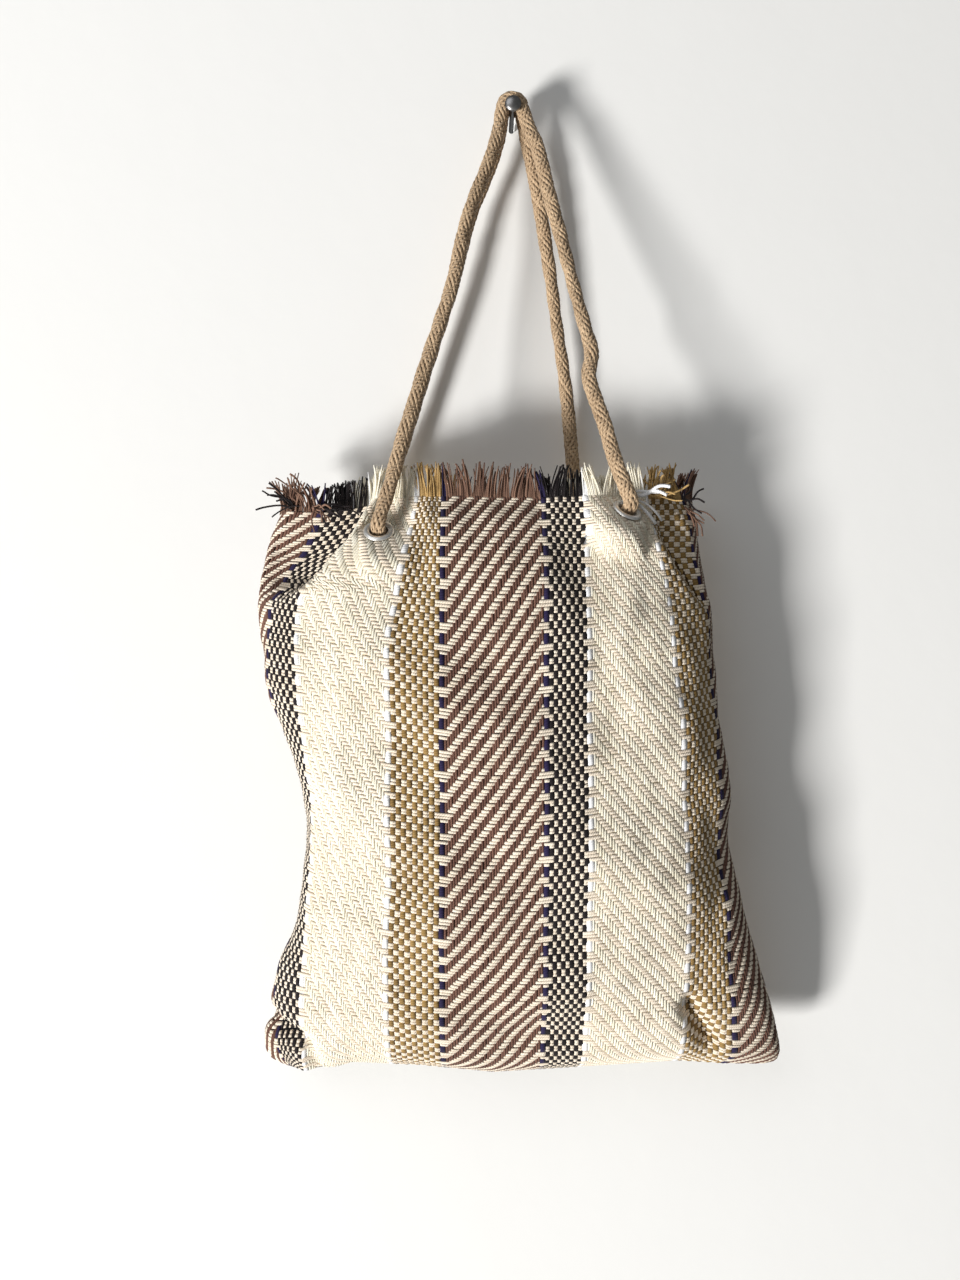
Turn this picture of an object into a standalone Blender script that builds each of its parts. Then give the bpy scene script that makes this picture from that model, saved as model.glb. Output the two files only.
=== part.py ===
"""Handwoven tote bag with a raw fringed mouth, four metal eyelets and two braided cord handles.

The bag hangs by its handles. The origin is the hanging point, at the underside of the two cords,
+Z is up and the front of the bag faces -Y. All sizes are in metres.
"""

import math

import bmesh
import bpy
from mathutils import Vector

# Cloth
CLOTH = 0.0025
SEAM_GAP = 0.0003
MOUTH_Z = -0.269
BOTTOM_Z = -0.638
BACK_Y = 0.010
SECTION_POWER = 2.4
FINE_ROWS_BELOW_MOUTH = 0.044
FINE_ROW = 0.0037
COARSE_ROWS = 15
LOW_ROWS = (0.010, 0.020)
COLUMNS = 22
FINE_COLUMN = 0.006
FINE_COLUMNS_EACH_SIDE = 3
COLUMN_SPACE = 0.03

# Outline of the bag at rest, from the bottom to the mouth, as (height, value)
LEFT_SIDE = (
    (-0.638, -0.1640),
    (-0.608, -0.1635),
    (-0.588, -0.1580),
    (-0.549, -0.1450),
    (-0.497, -0.1375),
    (-0.431, -0.1462),
    (-0.385, -0.1600),
    (-0.346, -0.1640),
    (-0.307, -0.1640),
    (-0.269, -0.1630),
)
RIGHT_SIDE = (
    (-0.638, 0.1800),
    (-0.602, 0.1715),
    (-0.569, 0.1610),
    (-0.529, 0.1488),
    (-0.484, 0.1403),
    (-0.438, 0.1385),
    (-0.398, 0.1330),
    (-0.359, 0.1305),
    (-0.326, 0.1260),
    (-0.269, 0.1180),
)
SIDE_SEAM_Y = ((-0.638, -0.010), (-0.580, -0.016), (-0.480, -0.022), (-0.350, -0.022), (-0.269, -0.014))
FRONT_DEPTH = (
    (-0.638, 0.0025),
    (-0.628, 0.0200),
    (-0.605, 0.0360),
    (-0.560, 0.0490),
    (-0.500, 0.0540),
    (-0.440, 0.0540),
    (-0.380, 0.0530),
    (-0.320, 0.0510),
    (-0.295, 0.0460),
    (-0.269, 0.0340),
)
BACK_DEPTH = (
    (-0.638, 0.0025),
    (-0.628, 0.0120),
    (-0.605, 0.0250),
    (-0.560, 0.0380),
    (-0.440, 0.0420),
    (-0.340, 0.0380),
    (-0.300, 0.0280),
    (-0.269, 0.0130),
)

# Eyelets, as (centre in the middle of the cloth, outward direction)
EYELETS = {
    "front_left": ((-0.0842, -0.0540, -0.2926), (0.00, -0.71, 0.70)),
    "front_right": ((0.0690, -0.0540, -0.2800), (0.34, -0.60, 0.72)),
    "back_left": ((-0.0880, 0.0047, -0.2844), (0.00, 0.87, 0.50)),
    "back_right": ((0.0445, 0.0047, -0.2802), (0.00, 0.87, 0.50)),
}
FLAT_RADIUS = 0.0140
PUCKER_RADIUS = 0.0280
EYELET_HOLE_R = 0.0060
EYELET_BARREL_R = 0.0067
EYELET_FLANGE_R = 0.0096
EYELET_LIP_R = 0.0079
FLANGE_BASE = 0.00165
FLANGE_TOP = 0.0029
LIP_TOP = -0.0029
LIP_BASE = -0.0036
CLOTH_HOLE_R = 0.00705
WASHER_HOLE_R = 0.0071
WASHER_R = 0.0090
WASHER_TOP = -0.00165
WASHER_BASE = -0.00255
EYELET_ROUNDING = 0.0006
TURNED_SEGMENTS = 20
CUTTER_LENGTH = 6 * CLOTH

# Cords
CORD_R = 0.0044
CORD_SIDES_RESOLUTION = 2
HINGE_HEIGHT = 0.0075
STUB_TOP = HINGE_HEIGHT - CORD_R - SEAM_GAP
STUB_R = 0.0042
KNOT_R = 0.0080
KNOT_CENTRE = -0.0124
TAIL_END = -0.0270
KNOT_SEGMENTS = 14
KNOT_STEPS = 7
POINTS_PER_SPAN = 3

# Routes of the two handles over the hanging point, without their ends at the eyelets
FRONT_ROUTE = (
    (-0.0812, -0.0575, -0.2760),
    (-0.0765, -0.0545, -0.2600),
    (-0.0705, -0.0492, -0.2350),
    (-0.0627, -0.0435, -0.2080),
    (-0.0553, -0.0380, -0.1810),
    (-0.0470, -0.0325, -0.1540),
    (-0.0388, -0.0270, -0.1260),
    (-0.0325, -0.0210, -0.0935),
    (-0.0262, -0.0165, -0.0700),
    (-0.0155, -0.0110, -0.0410),
    (-0.0092, -0.0070, -0.0190),
    (-0.0068, -0.0050, -0.0040),
    (-0.0048, -0.0047, 0.0024),
    (0.0000, -0.0047, 0.0044),
    (0.0050, -0.0047, 0.0024),
    (0.0074, -0.0050, -0.0040),
    (0.0105, -0.0070, -0.0150),
    (0.0170, -0.0100, -0.0320),
    (0.0240, -0.0162, -0.0650),
    (0.0313, -0.0222, -0.0960),
    (0.0380, -0.0282, -0.1265),
    (0.0450, -0.0340, -0.1560),
    (0.0494, -0.0385, -0.1760),
    (0.0472, -0.0415, -0.1915),
    (0.0510, -0.0448, -0.2070),
    (0.0562, -0.0485, -0.2235),
    (0.0622, -0.0532, -0.2470),
    (0.0680, -0.0570, -0.2640),
)
BACK_ROUTE = (
    (-0.0860, 0.0106, -0.2660),
    (-0.0790, 0.0100, -0.2400),
    (-0.0700, 0.0092, -0.2110),
    (-0.0610, 0.0084, -0.1820),
    (-0.0520, 0.0078, -0.1540),
    (-0.0425, 0.0072, -0.1240),
    (-0.0345, 0.0066, -0.0930),
    (-0.0275, 0.0060, -0.0680),
    (-0.0160, 0.0054, -0.0400),
    (-0.0092, 0.0050, -0.0190),
    (-0.0068, 0.0048, -0.0040),
    (-0.0048, 0.0047, 0.0024),
    (0.0000, 0.0047, 0.0044),
    (0.0050, 0.0047, 0.0024),
    (0.0074, 0.0048, -0.0040),
    (0.0100, 0.0050, -0.0180),
    (0.0140, 0.0055, -0.0360),
    (0.0185, 0.0062, -0.0590),
    (0.0230, 0.0070, -0.0870),
    (0.0270, 0.0077, -0.1130),
    (0.0308, 0.0085, -0.1420),
    (0.0352, 0.0093, -0.1710),
    (0.0382, 0.0099, -0.1950),
    (0.0405, 0.0104, -0.2200),
    (0.0430, 0.0108, -0.2500),
)

# Fringe and seams
FRINGE_HEIGHT = 0.0205
FRINGE_NOTCH = 0.0050
FRINGE_THICKNESS = 0.0016
FRINGE_TUFTS = 34
FRINGE_END_SHARE = 0.012
SEAM_THICKNESS = 0.0022
SEAM_DEPTH = 0.0080
SEAM_INSET = 0.0022
SIDE_SEAM_BOTTOM_Z = -0.598
SIDE_SEAM_TOP_Z = MOUTH_Z - 0.004
SIDE_SEAM_ROWS = 14
BOTTOM_SEAM_Z = -0.6250
BOTTOM_SEAM_X = (-0.118, 0.128)
BOTTOM_SEAM_COLUMNS = 8

# Angles above which an edge stays sharp
CLOTH_SHARP = math.radians(40)
TURNED_SHARP = math.radians(35)

# Finishes: colour, roughness, metallic
CLOTH_FINISH = ((0.62, 0.52, 0.40), 0.90, 0.0)
FRINGE_FINISH = ((0.24, 0.14, 0.11), 0.90, 0.0)
THREAD_FINISH = ((0.82, 0.76, 0.64), 0.85, 0.0)
NICKEL_FINISH = ((0.72, 0.71, 0.69), 0.25, 1.0)
CORD_FINISH = ((0.50, 0.31, 0.16), 0.75, 0.0)


def clear_scene():
    for obj in list(bpy.data.objects):
        bpy.data.objects.remove(obj, do_unlink=True)


def material(name, finish):
    colour, roughness, metallic = finish
    mat = bpy.data.materials.new(name)
    mat.use_nodes = True
    shader = mat.node_tree.nodes["Principled BSDF"]
    shader.inputs["Base Color"].default_value = (*colour, 1.0)
    shader.inputs["Roughness"].default_value = roughness
    shader.inputs["Metallic"].default_value = metallic
    return mat


def add_object(name, data, finish):
    obj = bpy.data.objects.new(name, data)
    bpy.context.scene.collection.objects.link(obj)
    data.materials.append(material(name + "_finish", finish))
    return obj


def mesh_from(name, bm, smooth_angle=None):
    bmesh.ops.recalc_face_normals(bm, faces=bm.faces)
    mesh = bpy.data.meshes.new(name)
    bm.to_mesh(mesh)
    bm.free()
    if smooth_angle is not None:
        mesh.shade_smooth()
        mesh.set_sharp_from_angle(angle=smooth_angle)
    return mesh


def curve_at(points, z):
    """Value at height z on a smooth curve through (height, value) points."""
    last = len(points) - 1
    i = 0
    while i < last - 1 and z > points[i + 1][0]:
        i += 1
    z0, v0 = points[i]
    z1, v1 = points[i + 1]

    def slope(k):
        low = points[max(k - 1, 0)]
        high = points[min(k + 1, last)]
        return (high[1] - low[1]) / (high[0] - low[0])

    span = z1 - z0
    t = min(max((z - z0) / span, 0.0), 1.0)
    h = t * t * (3 - 2 * t)
    ease_in = t * (1 - t) ** 2
    ease_out = -t * t * (1 - t)
    return v0 + (v1 - v0) * h + span * (slope(i) * ease_in + slope(i + 1) * ease_out)


def power(value, exponent):
    return math.copysign(abs(value) ** exponent, value)


def smoothstep(low, high, value):
    t = min(max((value - low) / (high - low), 0.0), 1.0)
    return t * t * (3 - 2 * t)


def cloth_y(facing, depth_curve, sin_term, x, z, inset):
    """Depth coordinate of a panel's surface; facing is -1 for the front and +1 for the back."""
    seam_y = curve_at(SIDE_SEAM_Y, z)
    depth = max(curve_at(depth_curve, z), CLOTH) - inset
    y = seam_y + facing * (SEAM_GAP / 2 + depth * sin_term)
    if facing > 0:
        y = min(y, BACK_Y - inset)
    prefix = "front" if facing < 0 else "back"
    for name, (centre, direction) in EYELETS.items():
        if not name.startswith(prefix):
            continue
        normal = Vector(direction).normalized()
        offset_x = x - centre[0]
        offset_z = z - centre[2]
        rise = -(normal.x * offset_x + normal.z * offset_z) / normal.y
        distance = math.sqrt(offset_x**2 + offset_z**2 + rise**2)
        flat_y = centre[1] + rise + facing * (CLOTH / 2 - inset) / abs(normal.y)
        y += (flat_y - y) * (1 - smoothstep(FLAT_RADIUS, PUCKER_RADIUS, distance))
    return y


def panel_point(facing, angle, z, inset):
    left = curve_at(LEFT_SIDE, z)
    right = curve_at(RIGHT_SIDE, z)
    half = (right - left) / 2
    x = (left + right) / 2 + (half - inset) * power(math.cos(angle), 2 / SECTION_POWER)
    sin_term = power(math.sin(angle), 2 / SECTION_POWER)
    curve = FRONT_DEPTH if facing < 0 else BACK_DEPTH
    return Vector((x, cloth_y(facing, curve, sin_term, x, z, inset), z))


def panel_heights():
    fine_from = MOUTH_Z - FINE_ROWS_BELOW_MOUTH
    coarse = [BOTTOM_Z + (fine_from - BOTTOM_Z) * i / COARSE_ROWS for i in range(COARSE_ROWS)]
    low_rows = [BOTTOM_Z + height for height in LOW_ROWS]
    count = round(FINE_ROWS_BELOW_MOUTH / FINE_ROW)
    fine = [fine_from + (MOUTH_Z - fine_from) * i / count for i in range(count + 1)]
    return sorted(coarse[:1] + low_rows + coarse[2:] + fine)


def panel_angles(facing):
    """Angles round the half section, closer together at the eyelets."""
    angles = [math.pi * i / COLUMNS for i in range(COLUMNS + 1)]
    prefix = "front" if facing < 0 else "back"
    half = (curve_at(RIGHT_SIDE, MOUTH_Z) - curve_at(LEFT_SIDE, MOUTH_Z)) / 2
    middle = (curve_at(RIGHT_SIDE, MOUTH_Z) + curve_at(LEFT_SIDE, MOUTH_Z)) / 2
    for name, (centre, _) in EYELETS.items():
        if name.startswith(prefix):
            fine = []
            for k in range(-FINE_COLUMNS_EACH_SIDE, FINE_COLUMNS_EACH_SIDE + 1):
                share = (centre[0] + k * FINE_COLUMN - middle) / half
                fine.append(math.acos(power(share, SECTION_POWER / 2)))
            low = fine[-1] - COLUMN_SPACE
            high = fine[0] + COLUMN_SPACE
            angles = [a for a in angles if not low < a < high] + fine
    return sorted(angles)


def shell(name, outer, inner, finish):
    """Closed solid between two grids of points that have the same rows and columns."""
    bm = bmesh.new()
    grids = [[[bm.verts.new(p) for p in row] for row in grid] for grid in (outer, inner)]
    rows = len(outer)
    columns = len(outer[0])
    for grid in grids:
        for i in range(rows - 1):
            for j in range(columns - 1):
                bm.faces.new((grid[i][j], grid[i][j + 1], grid[i + 1][j + 1], grid[i + 1][j]))
    front, back = grids
    for i in (0, rows - 1):
        for j in range(columns - 1):
            bm.faces.new((front[i][j], front[i][j + 1], back[i][j + 1], back[i][j]))
    for j in (0, columns - 1):
        for i in range(rows - 1):
            bm.faces.new((front[i][j], front[i + 1][j], back[i + 1][j], back[i][j]))
    return add_object(name, mesh_from(name, bm, CLOTH_SHARP), finish)


def drill(obj, centre, direction, radius):
    """Cuts a round hole through the object with a hidden cutter."""
    bm = bmesh.new()
    bmesh.ops.create_cone(
        bm,
        cap_ends=True,
        segments=TURNED_SEGMENTS,
        radius1=radius,
        radius2=radius,
        depth=CUTTER_LENGTH,
    )
    mesh = mesh_from("hole_cutter", bm)
    cutter = bpy.data.objects.new("hole_cutter", mesh)
    bpy.context.scene.collection.objects.link(cutter)
    cutter.location = centre
    cutter.rotation_mode = "QUATERNION"
    cutter.rotation_quaternion = Vector(direction).normalized().to_track_quat("Z", "Y")
    cutter.hide_render = True
    cutter.display_type = "WIRE"
    cut = obj.modifiers.new("eyelet_hole", "BOOLEAN")
    cut.operation = "DIFFERENCE"
    cut.object = cutter


def make_panel(name, facing):
    heights = panel_heights()
    angles = panel_angles(facing)
    outer = [[panel_point(facing, a, z, 0.0) for a in angles] for z in heights]
    inner = [[panel_point(facing, a, z, CLOTH) for a in angles] for z in heights]
    panel = shell(name, outer, inner, CLOTH_FINISH)
    prefix = "front" if facing < 0 else "back"
    for eyelet, (centre, direction) in EYELETS.items():
        if eyelet.startswith(prefix):
            drill(panel, centre, direction, CLOTH_HOLE_R)
    return panel


def make_fringe(name, facing):
    """Band of loose warp ends that stands on a panel's raw top edge, with a ragged upper edge."""
    outer = []
    inner = []
    for inset, grid in ((0.0, outer), (FRINGE_THICKNESS, inner)):
        low = []
        high = []
        for k in range(2 * FRINGE_TUFTS + 1):
            share = k / (2 * FRINGE_TUFTS)
            angle = math.pi * (FRINGE_END_SHARE + (1 - 2 * FRINGE_END_SHARE) * share)
            foot = panel_point(facing, angle, MOUTH_Z, inset + SEAM_GAP)
            height = FRINGE_HEIGHT - (FRINGE_NOTCH if k % 2 else 0.0)
            low.append(foot + Vector((0, 0, SEAM_GAP)))
            high.append(foot + Vector((0, 0, height)))
        grid.extend((low, high))
    return shell(name, outer, inner, FRINGE_FINISH)


def make_side_seam(name, side_curve, inward):
    """Sewn seam allowance that stands inside a side edge; inward is +1 for the left side."""
    outer = []
    inner = []
    for i in range(SIDE_SEAM_ROWS + 1):
        z = SIDE_SEAM_BOTTOM_Z + (SIDE_SEAM_TOP_Z - SIDE_SEAM_BOTTOM_Z) * i / SIDE_SEAM_ROWS
        x = curve_at(side_curve, z) + inward * (CLOTH + SEAM_INSET)
        y = curve_at(SIDE_SEAM_Y, z)
        for grid, offset in ((outer, -SEAM_THICKNESS / 2), (inner, SEAM_THICKNESS / 2)):
            grid.append([Vector((x, y + offset, z)), Vector((x + inward * SEAM_DEPTH, y + offset, z))])
    return shell(name, outer, inner, THREAD_FINISH)


def make_bottom_seam():
    """Sewn seam allowance that stands up inside the bottom edge."""
    outer = []
    inner = []
    for i in range(BOTTOM_SEAM_COLUMNS + 1):
        x = BOTTOM_SEAM_X[0] + (BOTTOM_SEAM_X[1] - BOTTOM_SEAM_X[0]) * i / BOTTOM_SEAM_COLUMNS
        for grid, offset in ((outer, -SEAM_THICKNESS / 2), (inner, SEAM_THICKNESS / 2)):
            column = []
            for z in (BOTTOM_SEAM_Z, BOTTOM_SEAM_Z + SEAM_DEPTH):
                column.append(Vector((x, curve_at(SIDE_SEAM_Y, z) + offset, z)))
            grid.append(column)
    return shell("bottom_seam", outer, inner, THREAD_FINISH)


def turned(name, profile, centre, direction, segments, finish):
    """Solid of revolution about local Z from a closed or axis-to-axis (radius, height) profile."""
    bm = bmesh.new()
    on_axis = profile[0][0] == 0
    rings = []
    for radius, height in profile:
        if radius == 0:
            rings.append([bm.verts.new((0, 0, height))] * segments)
            continue
        ring = []
        for k in range(segments):
            turn = 2 * math.pi * k / segments
            ring.append(bm.verts.new((radius * math.cos(turn), radius * math.sin(turn), height)))
        rings.append(ring)
    pairs = list(zip(rings, rings[1:]))
    if not on_axis:
        pairs.append((rings[-1], rings[0]))
    for low, high in pairs:
        for k in range(segments):
            n = (k + 1) % segments
            corners = []
            for vert in (low[k], low[n], high[n], high[k]):
                if vert not in corners:
                    corners.append(vert)
            bm.faces.new(corners)
    obj = add_object(name, mesh_from(name, bm, TURNED_SHARP), finish)
    obj.location = centre
    obj.rotation_mode = "QUATERNION"
    obj.rotation_quaternion = Vector(direction).normalized().to_track_quat("Z", "Y")
    return obj


def make_eyelet(place):
    """Flanged barrel set through the cloth, with its far end rolled over the washer."""
    rounding = EYELET_ROUNDING
    profile = (
        (EYELET_HOLE_R, LIP_BASE + rounding),
        (EYELET_HOLE_R + rounding, LIP_BASE),
        (EYELET_LIP_R - rounding, LIP_BASE),
        (EYELET_LIP_R, LIP_TOP),
        (EYELET_BARREL_R, LIP_TOP),
        (EYELET_BARREL_R, FLANGE_BASE),
        (EYELET_FLANGE_R - rounding / 2, FLANGE_BASE),
        (EYELET_FLANGE_R, FLANGE_BASE + rounding),
        (EYELET_FLANGE_R - 1.5 * rounding, FLANGE_TOP),
        (EYELET_HOLE_R + 1.5 * rounding, FLANGE_TOP),
        (EYELET_HOLE_R, FLANGE_TOP - 1.5 * rounding),
    )
    centre, direction = EYELETS[place]
    return turned(place + "_eyelet", profile, centre, direction, TURNED_SEGMENTS, NICKEL_FINISH)


def make_washer(place):
    profile = (
        (WASHER_HOLE_R, WASHER_BASE),
        (WASHER_R, WASHER_BASE),
        (WASHER_R, WASHER_TOP),
        (WASHER_HOLE_R, WASHER_TOP),
    )
    centre, direction = EYELETS[place]
    return turned(place + "_washer", profile, centre, direction, TURNED_SEGMENTS, NICKEL_FINISH)


def make_knot(place):
    """End of a handle cord: a short length through the eyelet, the knot inside the bag and a tail."""
    profile = [(0.0, TAIL_END), (STUB_R, TAIL_END)]
    edge = math.asin(STUB_R / KNOT_R)
    for i in range(KNOT_STEPS + 1):
        turn = edge + (math.pi - 2 * edge) * i / KNOT_STEPS
        profile.append((KNOT_R * math.sin(turn), KNOT_CENTRE - KNOT_R * math.cos(turn)))
    profile.extend([(STUB_R, STUB_TOP), (0.0, STUB_TOP)])
    centre, direction = EYELETS[place]
    return turned(place + "_knot", profile, centre, direction, KNOT_SEGMENTS, CORD_FINISH)


def hinge_point(place):
    centre, direction = EYELETS[place]
    return Vector(centre) + Vector(direction).normalized() * HINGE_HEIGHT


def smooth_route(points):
    """Points of a smooth curve through the route's own points."""
    samples = []
    last = len(points) - 1
    for i in range(last):
        p0 = points[max(i - 1, 0)]
        p1 = points[i]
        p2 = points[i + 1]
        p3 = points[min(i + 2, last)]
        for k in range(POINTS_PER_SPAN):
            t = k / POINTS_PER_SPAN
            a = -0.5 * p0 + 1.5 * p1 - 1.5 * p2 + 0.5 * p3
            b = p0 - 2.5 * p1 + 2 * p2 - 0.5 * p3
            c = 0.5 * (p2 - p0)
            samples.append(((a * t + b) * t + c) * t + p1)
    samples.append(points[last])
    return samples


def make_handle(name, route, left, right):
    """Cord from eyelet to eyelet over the hanging point; its origin lies on its swing axis."""
    start = hinge_point(left)
    end = hinge_point(right)
    points = smooth_route([start] + [Vector(p) for p in route] + [end])
    curve = bpy.data.curves.new(name, "CURVE")
    curve.dimensions = "3D"
    curve.bevel_depth = CORD_R
    curve.bevel_resolution = CORD_SIDES_RESOLUTION
    curve.use_fill_caps = True
    spline = curve.splines.new("POLY")
    spline.points.add(len(points) - 1)
    for point, place in zip(spline.points, points):
        point.co = (*(place - start), 1.0)
    obj = add_object(name, curve, CORD_FINISH)
    obj.location = start
    return obj


def main():
    clear_scene()
    make_panel("front_panel", -1)
    make_panel("back_panel", 1)
    make_fringe("front_fringe", -1)
    make_fringe("back_fringe", 1)
    make_side_seam("left_side_seam", LEFT_SIDE, 1)
    make_side_seam("right_side_seam", RIGHT_SIDE, -1)
    make_bottom_seam()
    for place in EYELETS:
        make_eyelet(place)
        make_washer(place)
        make_knot(place)
    make_handle("front_handle_cord", FRONT_ROUTE, "front_left", "front_right")
    make_handle("back_handle_cord", BACK_ROUTE, "back_left", "back_right")


main()
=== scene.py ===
"""Looks of the handwoven tote bag: yarn-by-yarn cloth, fringes, eyelets, braided handles and stage."""

import math

import bmesh
import bpy
import numpy as np
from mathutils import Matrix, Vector


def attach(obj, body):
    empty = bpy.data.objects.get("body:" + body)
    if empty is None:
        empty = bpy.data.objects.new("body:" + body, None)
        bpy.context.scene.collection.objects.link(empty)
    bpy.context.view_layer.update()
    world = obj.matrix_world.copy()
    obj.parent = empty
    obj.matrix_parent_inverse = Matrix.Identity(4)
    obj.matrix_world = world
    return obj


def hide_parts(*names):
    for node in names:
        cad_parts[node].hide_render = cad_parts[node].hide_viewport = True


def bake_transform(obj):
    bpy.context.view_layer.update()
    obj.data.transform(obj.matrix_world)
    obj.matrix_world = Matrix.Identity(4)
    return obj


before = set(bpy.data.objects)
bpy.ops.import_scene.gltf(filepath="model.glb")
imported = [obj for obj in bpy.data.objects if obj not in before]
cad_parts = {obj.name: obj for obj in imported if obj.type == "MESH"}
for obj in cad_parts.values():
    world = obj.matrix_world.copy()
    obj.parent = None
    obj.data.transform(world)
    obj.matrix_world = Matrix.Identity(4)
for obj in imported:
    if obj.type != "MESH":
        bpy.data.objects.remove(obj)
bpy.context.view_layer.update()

RNG = np.random.default_rng(7)

# Camera: a phone's main lens, level, in front of the hanging bag
CAMERA_PLACE = (-0.0216, -0.650, -0.359)
CAMERA_LENS = 27.03
SENSOR_WIDTH = 36.0

# Lights: name, place, size, power, colour
BAG_MIDDLE = (0.0, -0.03, -0.42)
LIGHTS = (
    ("key", (-3.50, -2.97, -2.85), 1.10, 385.0, (1.0, 0.985, 0.96)),
    ("fill", (-1.2, -1.6, 1.2), 1.8, 15.0, (0.97, 0.98, 1.0)),
    ("rear", (0.5, 2.4, 0.9), 1.6, 48.0, (1.0, 0.99, 0.97)),
)
SURROUND = 0.115
SURROUND_COLOUR = (0.97, 0.99, 0.98)

# Stage: a wall close behind the bag, and a floor below it
WALL_Y = 0.024
WALL_TOP = 3.0
FLOOR_Z = -1.60
REACH = 6.0
WALL_COLOUR = (0.86, 0.86, 0.85)
FLOOR_COLOUR = (0.80, 0.80, 0.79)

# Cloth outline, from the bottom to the mouth, as (height, value); the same curves as the CAD panels
LEFT_SIDE = (
    (-0.638, -0.1640), (-0.608, -0.1635), (-0.588, -0.1580), (-0.549, -0.1450), (-0.497, -0.1375),
    (-0.431, -0.1462), (-0.385, -0.1600), (-0.346, -0.1640), (-0.307, -0.1630), (-0.290, -0.1600),
    (-0.269, -0.1530),
)
RIGHT_SIDE = (
    (-0.638, 0.1800), (-0.602, 0.1715), (-0.569, 0.1610), (-0.529, 0.1488), (-0.484, 0.1403),
    (-0.438, 0.1385), (-0.398, 0.1330), (-0.359, 0.1305), (-0.326, 0.1260), (-0.269, 0.1180),
)
SIDE_SEAM_Y = ((-0.638, -0.010), (-0.580, -0.016), (-0.480, -0.022), (-0.350, -0.022), (-0.269, -0.014))
FRONT_DEPTH = (
    (-0.638, 0.0025), (-0.628, 0.0200), (-0.605, 0.0360), (-0.560, 0.0490), (-0.500, 0.0540),
    (-0.440, 0.0540), (-0.380, 0.0530), (-0.320, 0.0510), (-0.295, 0.0460), (-0.269, 0.0340),
)
BACK_DEPTH = (
    (-0.638, 0.0025), (-0.628, 0.0120), (-0.605, 0.0250), (-0.560, 0.0380), (-0.440, 0.0420),
    (-0.340, 0.0380), (-0.300, 0.0280), (-0.269, 0.0130),
)
MOUTH_Z = -0.269
BOTTOM_Z = -0.638
BACK_Y = 0.010
CLOTH = 0.0025
SECTION_POWER = 2.4
# The cloth is flat close round an eyelet and puckered out to a radius, which is small on the fold wall's side
FLAT_RADIUS = 0.0118
PUCKER_RADIUS = 0.0340
FOLD_PUCKER = 0.0148

# Weave: stripes as (yarn, width, warp ends), from the left seam to the right seam
EDGE_STRIPE = ("brown", 0.0297, 19)
STRIPE_GROUP = (
    ("navy", 0.0033, 1),
    ("black", 0.0231, 9),
    ("white", 0.0033, 1),
    ("cream", 0.0561, 36),
    ("white", 0.0033, 1),
    ("gold", 0.0297, 9),
    ("navy", 0.0033, 1),
)
STRIPES = (EDGE_STRIPE, *STRIPE_GROUP, ("brown", 0.0594, 38), *STRIPE_GROUP, EDGE_STRIPE)
HALF_WIDTH = sum(width for _, width, _ in STRIPES) / 2
PICK_PAIRS = 94
PAIR_CLOSENESS = 0.45
THICK_END = 0.0025
CRIMP = 0.00050
YARN_SIDES = 6
STRIPE_CENTRE_X = -0.013
BACK_CENTRE_X = -0.006

# Finishes: specular level of everything that isn't metal, and how many plies a yarn has
DULL_SPECULAR = 0.22
PLIES = 2.0

# Yarn cross-sections: width as a share of the room for it, and half thickness
FATNESS = {"brown": 0.52, "cream": 0.53, "black": 0.60, "gold": 0.51, "navy": 0.56, "white": 0.62}
PICK_FATNESS = 0.52
WARP_HALF = 0.00052
WEFT_HALF = 0.00050
WEFT_PARTS = 4
HOLE_IN_CLOTH = 0.0068
HOLE_IN_CORE = 0.0066
HOLE_REACH = 0.006
CORE_HALF = 0.00022

# Fringe and loose ends
FRINGE_LENGTH = 0.0212
STRAND_PITCH = 0.00090
STRAND_THICK = 0.00060
STRAY_THICK = 0.00058
STRAY_CORD_THICK = 0.00095
LOCK_WIDTH = (0.006, 0.015)

# Handle cords
CORD_WIDE = 0.0046
CORD_THIN = 0.0038
BRAID_STRANDS = 16
BRAID_TURN = 0.042
STRAND_WIDE = 0.00116
STRAND_HIGH = 0.00060
STRAND_LIFT = 0.00030
CORE_INSET = 0.0010
HINGE_HEIGHT = 0.0075
EYELET_CROWN = 0.0029
CORD_INSIDE = 0.006
CORD_IN_HOLE = 0.0005

FRONT_ROUTE = (
    (-0.0812, -0.0575, -0.2760), (-0.0765, -0.0545, -0.2600), (-0.0705, -0.0492, -0.2350),
    (-0.0627, -0.0435, -0.2080), (-0.0553, -0.0380, -0.1810), (-0.0470, -0.0325, -0.1540),
    (-0.0388, -0.0270, -0.1260), (-0.0325, -0.0210, -0.0935), (-0.0262, -0.0165, -0.0700),
    (-0.0155, -0.0110, -0.0410), (-0.0092, -0.0070, -0.0190), (-0.0068, -0.0050, -0.0040),
    (-0.0048, -0.0047, 0.0024), (0.0000, -0.0047, 0.0044), (0.0050, -0.0047, 0.0024),
    (0.0074, -0.0050, -0.0040), (0.0105, -0.0070, -0.0150), (0.0170, -0.0100, -0.0320),
    (0.0240, -0.0162, -0.0650), (0.0313, -0.0222, -0.0960), (0.0380, -0.0282, -0.1265),
    (0.0450, -0.0340, -0.1560), (0.0494, -0.0385, -0.1760), (0.0472, -0.0415, -0.1915),
    (0.0510, -0.0448, -0.2070), (0.0562, -0.0485, -0.2235), (0.0622, -0.0532, -0.2470),
    (0.0680, -0.0570, -0.2640),
)
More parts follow.
